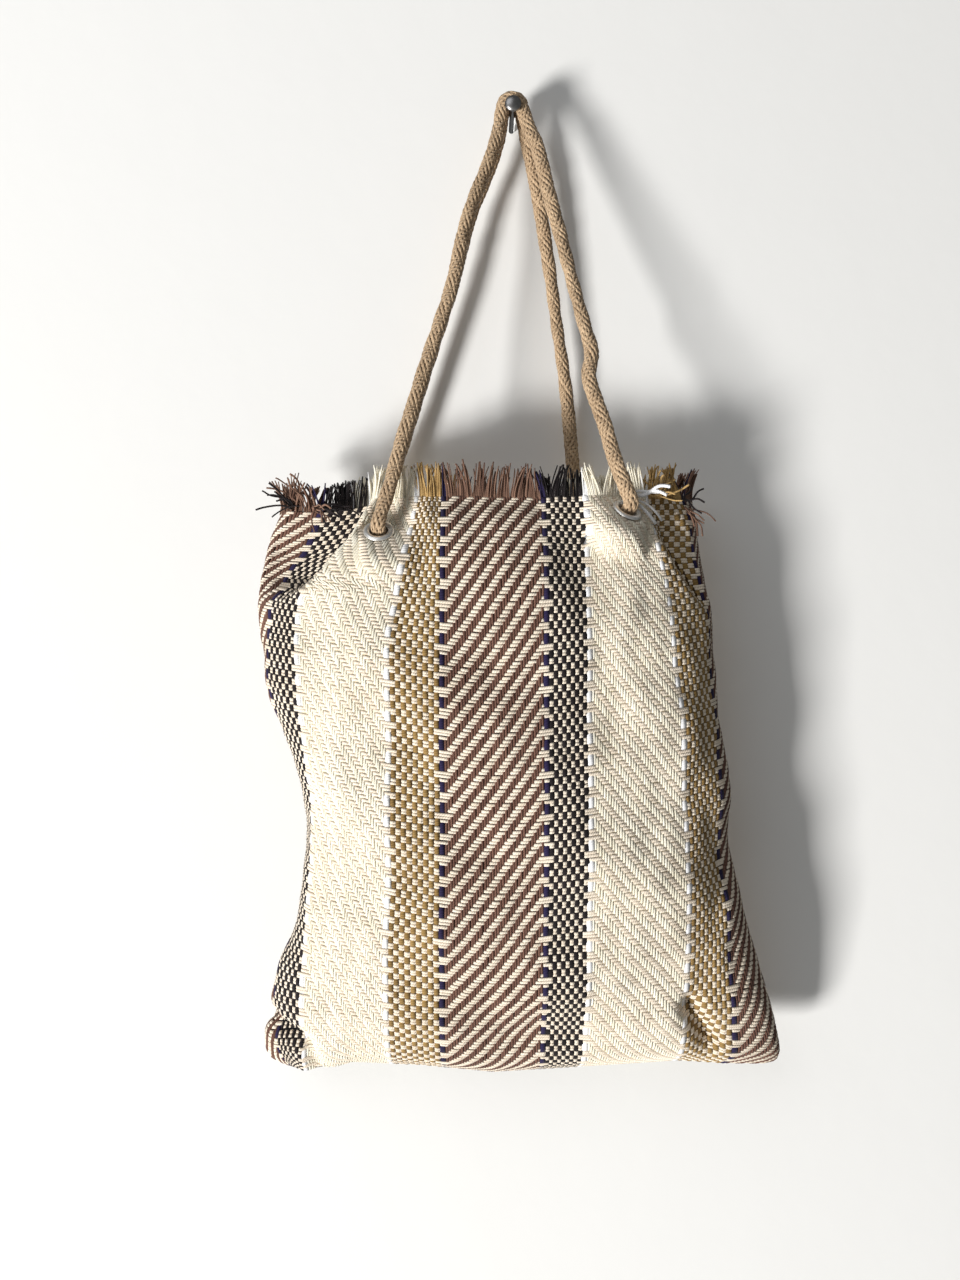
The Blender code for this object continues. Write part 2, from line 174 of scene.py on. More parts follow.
BACK_ROUTE = (
    (-0.0860, 0.0106, -0.2660), (-0.0790, 0.0100, -0.2400), (-0.0700, 0.0092, -0.2110),
    (-0.0610, 0.0084, -0.1820), (-0.0520, 0.0078, -0.1540), (-0.0425, 0.0072, -0.1240),
    (-0.0345, 0.0066, -0.0930), (-0.0275, 0.0060, -0.0680), (-0.0160, 0.0054, -0.0400),
    (-0.0092, 0.0050, -0.0190), (-0.0068, 0.0048, -0.0040), (-0.0048, 0.0047, 0.0024),
    (0.0000, 0.0047, 0.0044), (0.0050, 0.0047, 0.0024), (0.0074, 0.0048, -0.0040),
    (0.0100, 0.0050, -0.0180), (0.0140, 0.0055, -0.0360), (0.0185, 0.0062, -0.0590),
    (0.0230, 0.0070, -0.0870), (0.0270, 0.0077, -0.1130), (0.0308, 0.0085, -0.1420),
    (0.0352, 0.0093, -0.1710), (0.0382, 0.0099, -0.1950), (0.0405, 0.0104, -0.2200),
    (0.0430, 0.0108, -0.2500),
)


def unit(v):
    """Vectors scaled to length 1."""
    v = np.asarray(v, dtype=float)
    return v / np.maximum(np.linalg.norm(v, axis=-1, keepdims=True), 1e-12)


def linear(r, g, b):
    """Scene colour from 0 to 255 display values."""
    values = np.array([r, g, b]) / 255.0
    low = values / 12.92
    high = ((values + 0.055) / 1.055) ** 2.4
    return tuple(float(v) for v in np.where(values <= 0.04045, low, high))


def curve_at(points, z):
    """Values at heights z on a smooth curve through (height, value) points."""
    points = np.array(points)
    heights = points[:, 0]
    values = points[:, 1]
    slopes = np.gradient(values, heights)
    z = np.clip(z, heights[0], heights[-1])
    i = np.clip(np.searchsorted(heights, z, side="right") - 1, 0, len(heights) - 2)
    span = heights[i + 1] - heights[i]
    t = (z - heights[i]) / span
    h = t * t * (3 - 2 * t)
    step = span * (slopes[i] * t * (1 - t) ** 2 - slopes[i + 1] * t * t * (1 - t))
    return values[i] + (values[i + 1] - values[i]) * h + step


def smoothstep(low, high, value):
    """Smooth rise from 0 at low to 1 at high; a fall when high is below low."""
    t = np.clip((value - low) / (high - low), 0.0, 1.0)
    return t * t * (3 - 2 * t)


def spline(points, per_span):
    """Points of a smooth curve through the given points."""
    p = np.array(points, dtype=float)
    padded = np.vstack([p[:1], p, p[-1:]])
    out = []
    for i in range(len(p) - 1):
        p0, p1, p2, p3 = padded[i : i + 4]
        for k in range(per_span):
            t = k / per_span
            a = -0.5 * p0 + 1.5 * p1 - 1.5 * p2 + 0.5 * p3
            b = p0 - 2.5 * p1 + 2 * p2 - 0.5 * p3
            c = 0.5 * (p2 - p0)
            out.append(((a * t + b) * t + c) * t + p1)
    out.append(p[-1])
    return np.array(out)


def path_lengths(points):
    """Distance along a line of points, from its start to each point."""
    return np.concatenate([[0], np.cumsum(np.linalg.norm(np.diff(points, axis=0), axis=1))])


def evenly(points, step):
    """The same line with points an equal distance apart."""
    lengths = path_lengths(points)
    count = max(int(round(lengths[-1] / step)), 2)
    where = np.linspace(0, lengths[-1], count + 1)
    return np.stack([np.interp(where, lengths, points[:, k]) for k in range(3)], axis=1)


# ---- meshes


def link_mesh(name, mesh, mat=None):
    """New object in the scene for a mesh."""
    obj = bpy.data.objects.new(name, mesh)
    bpy.context.scene.collection.objects.link(obj)
    if mat:
        mesh.materials.append(mat)
    return obj


def on_bag(obj, mat, stands_for=None):
    """Gives a piece its material and slot and fixes it to the bag, in place of a CAD solid if named."""
    obj.data.materials.clear()
    obj.data.materials.append(mat)
    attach(obj, "bag")
    if stands_for:
        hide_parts(stands_for)
    return obj


class Tubes:
    """Collects closed tubes and turns them into one mesh."""

    def __init__(self, sides):
        self.sides = sides
        self.verts = []
        self.quads = []
        self.caps = []
        self.uvs = []
        self.tints = []
        self.count = 0

    def add(self, line, side, up, half_wide, half_high, tint=0.5):
        """Adds one tube along a line, with an elliptical section that lies in the side and up directions."""
        n = len(line)
        k = self.sides
        turn = 2 * math.pi * (np.arange(k) + 0.5) / k
        wide = np.broadcast_to(half_wide, n)[:, None]
        high = np.broadcast_to(half_high, n)[:, None]
        ring = (
            line[:, None, :]
            + side[:, None, :] * (wide * np.cos(turn))[:, :, None]
            + up[:, None, :] * (high * np.sin(turn))[:, :, None]
        )
        self.verts.append(ring.reshape(-1, 3))
        i = np.arange(n - 1)[:, None] * k
        j = np.arange(k)[None, :]
        nxt = (j + 1) % k
        quads = np.stack([i + j, i + nxt, i + k + nxt, i + k + j], axis=2).reshape(-1, 4)
        along = path_lengths(line)
        corners = ((j, along[:-1]), (j + 1, along[:-1]), (j + 1, along[1:]), (j, along[1:]))
        uv = np.stack([np.stack(np.broadcast_arrays(u / k, v[:, None]), axis=2) for u, v in corners], axis=2)
        uv = uv.reshape(-1, 4, 2)
        first = np.arange(k)[::-1]
        last = (n - 1) * k + np.arange(k)
        if np.dot(np.cross(side[0], up[0]), line[1] - line[0]) < 0:
            quads, uv, first, last = quads[:, ::-1], uv[:, ::-1], first[::-1], last[::-1]
        self.quads.append(quads + self.count)
        self.caps.extend([first + self.count, last + self.count])
        self.uvs.append(uv)
        self.tints.append(np.full(n * k, tint))
        self.count += n * k

    def build(self, name):
        """Makes one object of all the tubes, with a map of place round and along each yarn."""
        verts = np.concatenate(self.verts)
        quads = np.concatenate(self.quads)
        caps = np.array(self.caps)
        k = self.sides
        mesh = bpy.data.meshes.new(name)
        mesh.vertices.add(len(verts))
        mesh.vertices.foreach_set("co", verts.ravel())
        loops = np.concatenate([quads.ravel(), caps.ravel()])
        totals = np.concatenate([np.full(len(quads), 4), np.full(len(caps), k)])
        starts = np.concatenate([[0], np.cumsum(totals)[:-1]])
        mesh.loops.add(len(loops))
        mesh.loops.foreach_set("vertex_index", loops.astype(np.int32))
        mesh.polygons.add(len(totals))
        mesh.polygons.foreach_set("loop_start", starts.astype(np.int32))
        mesh.polygons.foreach_set("use_smooth", np.arange(len(totals)) < len(quads))
        uv = mesh.uv_layers.new(name="yarn")
        flat = np.concatenate([np.concatenate(self.uvs).reshape(-1, 2), np.zeros((len(caps) * k, 2))])
        uv.data.foreach_set("uv", flat.ravel())
        tint = mesh.attributes.new("tint", "FLOAT", "POINT")
        tint.data.foreach_set("value", np.concatenate(self.tints))
        mesh.update()
        mesh.validate()
        return link_mesh(name, mesh)


def tube_frames(line):
    """Side and up directions along a line, carried on without twisting."""
    along = unit(np.gradient(line, axis=0))
    side = np.zeros_like(line)
    side[0] = unit(np.cross(along[0], (0.0, -1.0, 0.0)))
    for i in range(1, len(line)):
        side[i] = unit(side[i - 1] - along[i] * np.dot(side[i - 1], along[i]))
    return along, side, np.cross(side, along)


# ---- materials


def node(tree, kind, **inputs):
    """New shader node with its input values set by name."""
    made = tree.nodes.new("ShaderNode" + kind)
    for key, value in inputs.items():
        made.inputs[key.replace("_", " ")].default_value = value
    return made


def arithmetic(tree, operation, first, factor, offset=None, clamp=False):
    """Math node on a linked value: factor is a number, and offset may be another linked value."""
    made = tree.nodes.new("ShaderNodeMath")
    made.operation = operation
    made.use_clamp = clamp
    tree.links.new(first, made.inputs[0])
    if factor is not None:
        made.inputs[1].default_value = factor
    if offset is not None:
        tree.links.new(offset, made.inputs[2])
    return made.outputs[0]


def noise(tree, scale, detail, roughness=0.5, output="Fac"):
    """Noise over the piece's own coordinates."""
    place = node(tree, "TexCoord")
    made = node(tree, "TexNoise", Scale=scale, Detail=detail, Roughness=roughness)
    tree.links.new(place.outputs["Object"], made.inputs["Vector"])
    return made.outputs[output]


def ramp(tree, value, low, high, start=0.0, stop=1.0):
    """Colour that goes from low to high as the value goes from start to stop."""
    made = tree.nodes.new("ShaderNodeValToRGB")
    for element, place, colour in zip(made.color_ramp.elements, (start, stop), (low, high)):
        element.position = place
        element.color = (*colour, 1.0)
    tree.links.new(value, made.inputs["Fac"])
    return made.outputs["Color"]


def relief(tree, shader, height, strength, distance):
    """Fine relief of the surface, finer than the meshes."""
    made = node(tree, "Bump", Strength=strength, Distance=distance)
    tree.links.new(height, made.inputs["Height"])
    tree.links.new(made.outputs["Normal"], shader.inputs["Normal"])


def new_material(name, roughness, sheen=0.0, metallic=0.0):
    """Material with its uniform values set on the shader."""
    mat = bpy.data.materials.new(name)
    mat.use_nodes = True
    shader = mat.node_tree.nodes["Principled BSDF"]
    shader.inputs["Roughness"].default_value = roughness
    shader.inputs["Sheen Weight"].default_value = sheen
    shader.inputs["Sheen Roughness"].default_value = 0.5
    shader.inputs["Metallic"].default_value = metallic
    if not metallic:
        shader.inputs["Specular IOR Level"].default_value = DULL_SPECULAR
    return mat, mat.node_tree, shader


def yarn_material(name, dark, light, ply=0.0016, bump=0.35, roughness=0.85, sheen=0.08):
    """Twisted yarn: plies run round it as slanting bands, with loose fibres and a tint for each yarn."""
    mat, tree, shader = new_material(name, roughness, sheen)
    uv = node(tree, "UVMap")
    uv.uv_map = "yarn"
    split = node(tree, "SeparateXYZ")
    tree.links.new(uv.outputs["UV"], split.inputs[0])
    turns = arithmetic(tree, "MULTIPLY", split.outputs["Y"], 1.0 / ply)
    spin = arithmetic(tree, "MULTIPLY_ADD", split.outputs["X"], PLIES, turns)
    plies = arithmetic(tree, "SINE", arithmetic(tree, "MULTIPLY", spin, 2 * math.pi), None)
    fibre = noise(tree, 2600.0, 3.0, 0.6)
    patch = noise(tree, 38.0, 4.0, 0.6)
    tint = tree.nodes.new("ShaderNodeAttribute")
    tint.attribute_name = "tint"
    level = arithmetic(tree, "MULTIPLY_ADD", plies, 0.13, tint.outputs["Fac"])
    level = arithmetic(tree, "MULTIPLY_ADD", fibre, 0.55, level)
    level = arithmetic(tree, "MULTIPLY_ADD", patch, 0.5, level)
    level = arithmetic(tree, "SUBTRACT", level, 0.52, clamp=True)
    tree.links.new(ramp(tree, level, dark, light, 0.1, 0.75), shader.inputs["Base Color"])
    relief(tree, shader, arithmetic(tree, "MULTIPLY_ADD", fibre, 0.6, plies), bump, 0.0002)
    return mat


def nickel_material():
    """Bright nickel plate with fine rubbing marks and slightly dull patches."""
    mat, tree, shader = new_material("nickel", 0.22, metallic=0.75)
    dull = noise(tree, 260.0, 5.0, 0.65)
    tone = ramp(tree, dull, (0.70, 0.69, 0.66), (0.95, 0.94, 0.92), 0.3, 0.6)
    tree.links.new(tone, shader.inputs["Base Color"])
    rough = node(tree, "MapRange", To_Min=0.26, To_Max=0.48)
    tree.links.new(dull, rough.inputs["Value"])
    tree.links.new(rough.outputs["Result"], shader.inputs["Roughness"])
    relief(tree, shader, noise(tree, 900.0, 2.0), 0.08, 0.0001)
    return mat


def plain_stage_material(name, colour):
    """Matt paint with a faint unevenness."""
    mat, tree, shader = new_material(name, 0.9)
    relief(tree, shader, noise(tree, 14.0, 6.0, 0.6), 0.10, 0.004)
    shader.inputs["Base Color"].default_value = (*colour, 1.0)
    return mat


YARN_TONES = {
    "brown": (linear(68, 43, 35), linear(126, 92, 78)),
    "navy": (linear(17, 13, 34), linear(46, 38, 78)),
    "black": (linear(10, 7, 8), linear(38, 31, 33)),
    "white": (linear(222, 222, 226), linear(255, 255, 255)),
    "cream": (linear(218, 208, 182), linear(254, 249, 234)),
    "gold": (linear(90, 66, 32), linear(166, 135, 82)),
    "weft": (linear(214, 197, 175), linear(252, 240, 222)),
}
YARN = {name: yarn_material(name + "_yarn", *tones) for name, tones in YARN_TONES.items()}
# Painted light: the loose gold and brown ends get lighter copies of their yarns' colours, standing in for the
# light that their opened-up strands catch
LOOSE_WITH_PAINTED_LIGHT = dict(YARN)
LOOSE_WITH_PAINTED_LIGHT["gold"] = yarn_material("gold_loose_yarn_painted_light", linear(122, 94, 52), linear(202, 168, 112))
LOOSE_WITH_PAINTED_LIGHT["brown"] = yarn_material("brown_loose_yarn_painted_light", linear(82, 56, 46), linear(144, 112, 94))
CORD_MATERIAL = yarn_material(
    "tan_braid", linear(104, 80, 56), linear(210, 182, 148), ply=0.0030, bump=0.5, roughness=0.7, sheen=0.15
)
NICKEL = nickel_material()
THREAD = yarn_material("sewing_thread", linear(196, 180, 150), linear(240, 230, 206), ply=0.0008)


# ---- camera, light and stage


def make_camera():
    """Level camera in front of the bag, looking along +Y."""
    data = bpy.data.cameras.new("camera")
    data.sensor_width = SENSOR_WIDTH
    data.lens = CAMERA_LENS
    data.clip_start = 0.01
    camera = bpy.data.objects.new("camera", data)
    camera.location = CAMERA_PLACE
    camera.rotation_euler = (math.pi / 2, 0, 0)
    bpy.context.scene.collection.objects.link(camera)
    bpy.context.scene.camera = camera


def area_light(name, place, size, power, colour):
    """Square soft light that faces the middle of the bag."""
    data = bpy.data.lights.new(name, "AREA")
    data.shape = "SQUARE"
    data.size = size
    data.energy = power
    data.color = colour
    light = bpy.data.objects.new(name, data)
    light.location = place
    aim = Vector(BAG_MIDDLE) - Vector(place)
    light.rotation_euler = aim.to_track_quat("-Z", "Y").to_euler()
    bpy.context.scene.collection.objects.link(light)


def make_lights():
    """Key from the lower left in front, a weak fill from above, a light for the back, and a dim surround."""
    for light in LIGHTS:
        area_light(*light)
    world = bpy.data.worlds.new("studio")
    world.use_nodes = True
    surround = world.node_tree.nodes["Background"]
    surround.inputs["Color"].default_value = (*SURROUND_COLOUR, 1.0)
    surround.inputs["Strength"].default_value = SURROUND
    bpy.context.scene.world = world
    bpy.context.scene.view_settings.view_transform = "Standard"


def stage_plane(name, near, far, mat):
    """Rectangle between two edges, each from x = -REACH to x = REACH, given as (y, z)."""
    corners = [(-REACH, *near), (REACH, *near), (REACH, *far), (-REACH, *far)]
    mesh = bpy.data.meshes.new(name)
    mesh.from_pydata(corners, [], [(0, 1, 2, 3)])
    obj = link_mesh(name, mesh, mat)
    return obj


def make_stage():
    """Floor and wall. The key light stands below the floor and the rear light behind the wall."""
    pale = plain_stage_material("pale_floor", FLOOR_COLOUR)
    ground = stage_plane("floor", (-REACH, FLOOR_Z), (REACH, FLOOR_Z), pale)
    ground.visible_shadow = False
    wall_mat = plain_stage_material("pale_wall", WALL_COLOUR)
    tree = wall_mat.node_tree
    side = node(tree, "NewGeometry")
    mix = node(tree, "MixShader")
    tree.links.new(side.outputs["Backfacing"], mix.inputs["Fac"])
    tree.links.new(tree.nodes["Principled BSDF"].outputs[0], mix.inputs[1])
    tree.links.new(node(tree, "BsdfTransparent").outputs[0], mix.inputs[2])
    tree.links.new(mix.outputs[0], tree.nodes["Material Output"].inputs["Surface"])
    wall = stage_plane("wall", (WALL_Y, FLOOR_Z), (WALL_Y, WALL_TOP), wall_mat)
    wall.visible_shadow = False
    wall.visible_diffuse = False
    wall.visible_glossy = False


# ---- eyelet places


def eyelet_frame(name):
    """Centre in the middle of the cloth and outward direction, read from the CAD eyelet."""
    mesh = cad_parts[name + "_eyelet"].data
    points = np.zeros(len(mesh.vertices) * 3)
    mesh.vertices.foreach_get("co", points)
    points = points.reshape(-1, 3)
    centre = points.mean(axis=0)
    _, vectors = np.linalg.eigh(np.cov((points - centre).T))
    direction = vectors[:, 0]
    facing = -1 if name.startswith("front") else 1
    if direction[1] * facing < 0:
        direction = -direction
    top = ((points - centre) @ direction).max()
    return centre + direction * (top - EYELET_CROWN), direction


EYELETS = {name: eyelet_frame(name) for name in ("front_left", "front_right", "back_left", "back_right")}


def hinge(place):
    """Point just outside an eyelet that its handle turns about."""
    centre, direction = EYELETS[place]
    return centre + direction * HINGE_HEIGHT


# ---- handle cords


def braid(name, line, wide, thin, step=0.0011):
    """Tubular braid: strands that wind both ways round a core and pass over and under each other."""
    line = evenly(line, step)
    along, side, up = tube_frames(line)
    lengths = path_lengths(line)
    # The flat side rolls a little to and fro along the cord
    roll = 0.5 * np.sin(lengths * 17.0) + 0.3 * np.sin(lengths * 41.0 + 1.0)
    flat = np.cos(roll)[:, None] * side + np.sin(roll)[:, None] * up
    tall = np.cross(flat, along)
    tubes = Tubes(6)
    half = BRAID_STRANDS // 2
    for direction in (1, -1):
        for k in range(half):
            phase = 2 * math.pi * (k + (0.25 if direction < 0 else 0.0)) / half
            turn = direction * 2 * math.pi * lengths / BRAID_TURN + phase
            cross = lengths * 2 / BRAID_TURN * half
            weave = np.sin(math.pi * (cross + k * direction) / 2 + (math.pi if direction < 0 else 0.0))
            lift = STRAND_LIFT * weave - STRAND_HIGH
            radial = np.cos(turn)[:, None] * flat + np.sin(turn)[:, None] * tall
            sideways = flat * ((wide + lift) * np.cos(turn))[:, None]
            place = line + sideways + tall * ((thin + lift) * np.sin(turn))[:, None]
            run = unit(np.gradient(place, axis=0))
            out = unit(radial - run * np.sum(radial * run, axis=1)[:, None])
            across = np.cross(run, out)
            tubes.add(place, across, out, STRAND_WIDE, STRAND_HIGH, tint=0.5 + RNG.uniform(-0.1, 0.1))
    tubes.add(line, flat, tall, wide - CORE_INSET, thin - CORE_INSET, tint=0.4)
    obj = tubes.build(name)
    obj.data.materials.append(CORD_MATERIAL)
    return obj, line


def make_handle(name, route, left, right):
    """Braided handle from inside one eyelet, over the hanging point and into the other eyelet."""
    ends = []
    for place in (left, right):
        centre, direction = EYELETS[place]
        ends.append([centre - direction * CORD_INSIDE, centre + direction * CORD_IN_HOLE, hinge(place)])
    points = ends[0] + [np.array(p) for p in route] + ends[1][::-1]
    line = spline(points, 6)
    obj, path = braid(name, line, CORD_WIDE, CORD_THIN)
    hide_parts(name.replace("_braid", "_cord"))
    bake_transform(obj)


# ---- cloth surface


# Fold walls beside the front eyelets, where the corner of the mouth falls back: (height, x) of the wall
LEFT_WALL = (
    (-0.3380, -0.1500), (-0.3283, -0.1340), (-0.3007, -0.1075), (-0.2900, -0.1010), (-0.2800, -0.0965),
    (-0.2690, -0.0905),
)
RIGHT_WALL = (
    (-0.3500, 0.1290), (-0.3400, 0.1200), (-0.3156, 0.1040), (-0.2950, 0.0905), (-0.2800, 0.0875),
    (-0.2690, 0.0855),
)
FOLDS = ((LEFT_WALL, -1, -0.030), (RIGHT_WALL, 1, -0.036))
FOLD_WIDTH = 0.007
FOLD_START = 0.010
# Where the stripes beside the front eyelets are drawn to: (height, x) of one stripe edge on each side
LEFT_EDGE = (
    (-0.3600, -0.1385), (-0.3400, -0.1360), (-0.3250, -0.1300), (-0.3100, -0.1180), (-0.3007, -0.1095),
    (-0.2900, -0.1030), (-0.2800, -0.0985), (-0.2690, -0.0940),
)
GOLD_EDGE = (
    (-0.4200, -0.0760), (-0.3577, -0.0750), (-0.3290, -0.0704), (-0.3105, -0.0667), (-0.2920, -0.0631),
    (-0.2690, -0.0600),
)
RIGHT_EDGE = (
    (-0.4200, 0.1010), (-0.3600, 0.0975), (-0.3200, 0.0945), (-0.3063, 0.0905), (-0.2950, 0.0885),
    (-0.2690, 0.0850),
)
NAVY_EDGE = (
    (-0.4200, 0.1280), (-0.3600, 0.1240), (-0.3350, 0.1200), (-0.3200, 0.1175), (-0.3063, 0.1140),
    (-0.2927, 0.1125), (-0.2690, 0.1075),
)
# Each side: place across the cloth where the crowding starts, heights where it starts and is full, and the
# drawn stripe edges
CROWDED = (
    (-1, 0.0330, -0.3700, -0.3400, ((0.0627, GOLD_EDGE), (0.1254, LEFT_EDGE))),
    (1, 0.0594, -0.4200, -0.3500, ((0.1188, RIGHT_EDGE), (0.1485, NAVY_EDGE))),
)
# Slack low down in the cream stripes: place and reach across the cloth, amount, heights where it fades out
SLACK = {-1: (0.0627, 0.025, 0.0028, -0.565, -0.500), 1: (0.1188, 0.030, 0.0035, -0.485, -0.425)}

# Height of the lowest edge along the bottom, as (x, height)
BOTTOM_EDGE = (
    (-0.165, -0.6340), (-0.138, -0.6450), (-0.118, -0.6420), (-0.106, -0.6385), (-0.060, -0.6405),
    (-0.013, -0.6450), (0.030, -0.6425), (0.110, -0.6375), (0.140, -0.6395), (0.165, -0.6400),
    (0.181, -0.6370),
)
CORNER_R = 0.012
# Spare width near the bottom goes to the outer stripes, and no drawn stripe gets narrower than this
BOTTOM_REACH = 0.070
SQUEEZE_START = 0.68
LEAST_STRIPE = 0.004
LEAST_EDGE = 0.006
# The picks rise towards the sides in the middle of the bag, and the mouth's left corner hangs lower
CORNER_DROOP = 0.0075
WEFT_SLOPE = 0.14
WEFT_DIP = 0.020
WEFT_LEVEL = 0.0075


def section(z):
    """Closed outline of the cloth's middle surface at height z, as x, y and its length along the outline."""
    turn = np.linspace(0, 2 * math.pi, 2881)
    left = curve_at(LEFT_SIDE, z)
    right = curve_at(RIGHT_SIDE, z)
    above = min(z - BOTTOM_Z, CORNER_R)
    rounding = CORNER_R - math.sqrt(CORNER_R**2 - (CORNER_R - above) ** 2)
    half = (right - left) / 2 - CLOTH / 2 - 0.6 * rounding
    cosine = np.cos(turn)
    sine = np.sin(turn)
    exponent = 2 / SECTION_POWER
    x = (left + right) / 2 + half * np.sign(cosine) * np.abs(cosine) ** exponent
    seam_y = curve_at(SIDE_SEAM_Y, z)
    front = np.maximum(curve_at(FRONT_DEPTH, z) - CLOTH / 2, CLOTH / 2)
    back = np.maximum(curve_at(BACK_DEPTH, z) - CLOTH / 2, CLOTH / 2)
    depth = np.where(sine >= 0, front, back)
    y = seam_y - depth * np.sign(sine) * np.abs(sine) ** exponent
    y = np.where(sine < 0, np.minimum(y, BACK_Y - CLOTH / 2), y)
    on_front = sine > 0
    for wall, side, recess in FOLDS:
        wall_x = curve_at(wall, z)
        grown = smoothstep(wall[0][0], wall[1][0] + FOLD_START, z)
        beyond = smoothstep(-FOLD_WIDTH / 2, FOLD_WIDTH / 2, (x - wall_x) * side) * on_front * grown
        y = y + (np.maximum(y, recess) - y) * beyond
    lengths = path_lengths(np.stack([x, y], axis=1))
    for name, (centre, normal) in EYELETS.items():
        facing = sine > 0.02 if name.startswith("front") else sine < -0.02
        offset_x = x - centre[0]
        offset_z = z - centre[2]
        rise = -(normal[0] * offset_x + normal[2] * offset_z) / normal[1]
        distance = np.sqrt(offset_x**2 + offset_z**2 + np.clip(rise, -0.01, 0.01) ** 2)
        outer = PUCKER_RADIUS
        if name.startswith("front"):
            inward = -offset_x * math.copysign(1.0, centre[0]) + 0.6 * max(0.0, -offset_z)
            outer = FOLD_PUCKER + (PUCKER_RADIUS - FOLD_PUCKER) * smoothstep(-0.012, 0.008, inward)
        near = (1 - smoothstep(FLAT_RADIUS, outer, distance)) * facing
        y = y + (centre[1] + rise - y) * near
    return x, y, lengths


def end_places():
    """Warp ends as (yarn, middle sample, width, number in stripe, first and last sample), and the samples."""
    ends = []
    samples = []
    start = -HALF_WIDTH
    for yarn, width, count in STRIPES:
        pitch = width / count
        for k in range(count):
            middle = start + (k + 0.5) * pitch
            first = len(samples)
            offsets = (-0.3, 0.0, 0.3) if pitch > THICK_END else (0.0,)
            samples.extend(middle + offset * pitch for offset in offsets)
            ends.append((yarn, first + len(offsets) // 2, pitch, k, first, len(samples)))
        start += width
    return ends, np.array([-HALF_WIDTH, *samples, HALF_WIDTH])


ENDS, ACROSS = end_places()


def pick_heights():
    """Heights of the picks on the front's middle line: they lie in pairs."""
    fine_z = np.linspace(BOTTOM_Z, MOUTH_Z, 600)
    front_y = curve_at(SIDE_SEAM_Y, fine_z) - curve_at(FRONT_DEPTH, fine_z)
    arc_lengths = path_lengths(np.stack([fine_z, front_y], axis=1))
    pair = arc_lengths[-1] / PICK_PAIRS
    places = [(k + 0.5 + half * PAIR_CLOSENESS) * pair for k in range(PICK_PAIRS) for half in (-0.5, 0.5)]
    return np.interp([0.0, *places, arc_lengths[-1]], arc_lengths, fine_z)


def crowding(z, room, place_of):
    """Shift of each column along the outline at height z, and how far the front reaches on each side."""
    near_bottom = 1 - smoothstep(BOTTOM_Z, BOTTOM_Z + BOTTOM_REACH, z)
    squeeze = smoothstep(SQUEEZE_START, 1.0, np.abs(ACROSS) / HALF_WIDTH)
    s = np.abs(ACROSS)
    reach = {}
    shift = np.zeros(len(ACROSS))
    for side, begin, low, high, edges in CROWDED:
        free = (room[side] - HALF_WIDTH) * near_bottom
        drawn = smoothstep(low, high, z)
        knots = [0.0, begin]
        places = [0.0, begin]
        for place, edge in edges:
            at_edge = place_of(curve_at(edge, z))
            knots.append(place)
            places.append(max(place + (at_edge - place) * drawn, places[-1] + LEAST_STRIPE))
        knots.append(HALF_WIDTH)
        places.append(max(HALF_WIDTH + (room[side] - HALF_WIDTH) * drawn, places[-1] + LEAST_EDGE))
        place, spread, amount, full, gone = SLACK[side]
        slack = amount * (1 - smoothstep(full, gone, z)) * np.exp(-(((s - place) / spread) ** 2))
        moved = np.interp(s, knots, places) - s + free * squeeze + slack
        shift = shift + side * np.where(ACROSS * side > 0, moved, 0.0)
        reach[side] = places[-1] + free
    return shift, reach


def level_rows(z):
    """Front and back rows of the cloth's middle surface at one height, with columns at ACROSS."""
    x, y, total = section(z)
    around = total[-1]
    half_turn = len(x) // 2
    upper = np.arange(len(x)) < half_turn
    ref = np.interp(-STRIPE_CENTRE_X, -x[upper], total[upper])
    room = {1: ref, -1: total[half_turn] - ref}
    shift, reach = crowding(z, room, lambda at: abs(np.interp(-at, -x[upper], total[upper]) - ref))
    middle = np.interp(BACK_CENTRE_X, x[~upper], total[~upper])
    span = np.where(ACROSS < 0, middle - (ref + reach[-1]), around + ref - reach[1] - middle)
    looped = [np.concatenate([v[:-1], v, v[1:]]) for v in (x, y)]
    loop_total = np.concatenate([total[:-1] - around, total, total[1:] + around])
    rows = []
    for where in (ref - (ACROSS + shift), middle + ACROSS * span / HALF_WIDTH):
        places = [np.interp(where, loop_total, v) for v in looped]
        rows.append(np.stack([*places, np.full(len(where), z)], axis=1))
    return rows


def build_grid():
    """Middle surface of the front and back panels, with a row at each pick and columns at ACROSS."""
    heights = pick_heights()
    levels = [level_rows(z) for z in heights]
    share = ((heights - BOTTOM_Z) / (MOUTH_Z - BOTTOM_Z))[:, None]
    sag = smoothstep(0.02, 0.25, share) * (1 - smoothstep(0.74, 1.0, share))
    droop = CORNER_DROOP * smoothstep(0.82, 1.0, share) * smoothstep(0.105, 0.150, -ACROSS)[None, :]
    lift = WEFT_SLOPE * (np.sqrt(ACROSS**2 + WEFT_DIP**2) - WEFT_DIP) - WEFT_LEVEL
    wanted = heights[:, None] + sag * lift[None, :]
    low_down = 1 - smoothstep(0.0, 0.16, share)
    edge_x, edge_z = zip(*BOTTOM_EDGE)
    panels = []
    for index in (0, 1):
        panel = np.array([level[index] for level in levels])
        edge = np.interp(panel[0, :, 0], edge_x, edge_z) - BOTTOM_Z
        for c in range(len(ACROSS)):
            for k in (0, 1):
                panel[:, c, k] = np.interp(wanted[:, c], heights, panel[:, c, k])
        panel[:, :, 2] = wanted + low_down * edge[None, :] - droop
        panels.append(panel)
    return panels


def grid_normals(grid):
    """Outward normal, direction across and direction upward at each point of a panel."""
    across = np.gradient(grid, axis=1)
    upward = np.gradient(grid, axis=0)
    return unit(np.cross(across, upward)), unit(across), unit(upward)


def wave_noise(s, t, seed, scale, amount):
    """Smooth random undulation over the cloth."""
    rng = np.random.default_rng(seed)
    total = np.zeros(np.broadcast(s, t).shape)
    for _ in range(10):
        angle = rng.uniform(0, 2 * math.pi)
        frequency = rng.uniform(0.6, 1.6) / scale
        phase = rng.uniform(0, 2 * math.pi)
        total = total + np.sin(2 * math.pi * frequency * (s * math.cos(angle) + t * math.sin(angle)) + phase)
    return amount * total / 3.0


